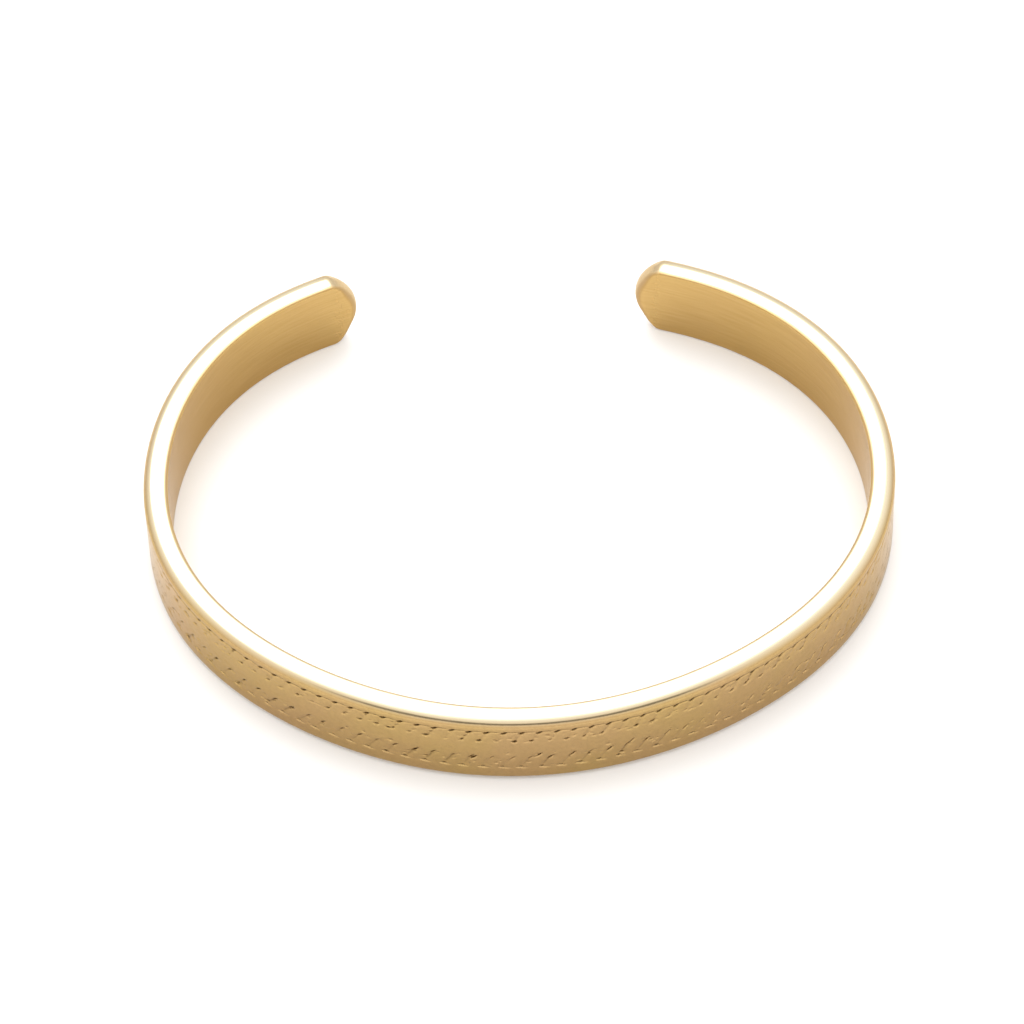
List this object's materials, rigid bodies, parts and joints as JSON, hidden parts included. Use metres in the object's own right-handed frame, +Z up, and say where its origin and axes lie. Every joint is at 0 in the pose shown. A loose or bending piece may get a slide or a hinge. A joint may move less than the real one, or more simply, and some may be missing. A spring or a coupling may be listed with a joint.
{
  "type": "open cuff bangle",
  "caption": "Open oval cuff bangle of flat gold-coloured metal with round tips, plain rims and a chased rope border outside; slips over the wrist through its gap.",
  "frame": {"origin": "centre of the footprint on the surface that the bangle lies on", "axes": "+X along the oval's width, +Y towards the gap between the tips, +Z up, along the height of the band"},
  "size_m": [0.0636, 0.0504, 0.0076],
  "materials": {
    "gold": "gold plated brass, polished rims and wall, softly worn chasing"
  },
  "bodies": {
    "root": {"cuff": "gold"}
  },
  "joints": []
}
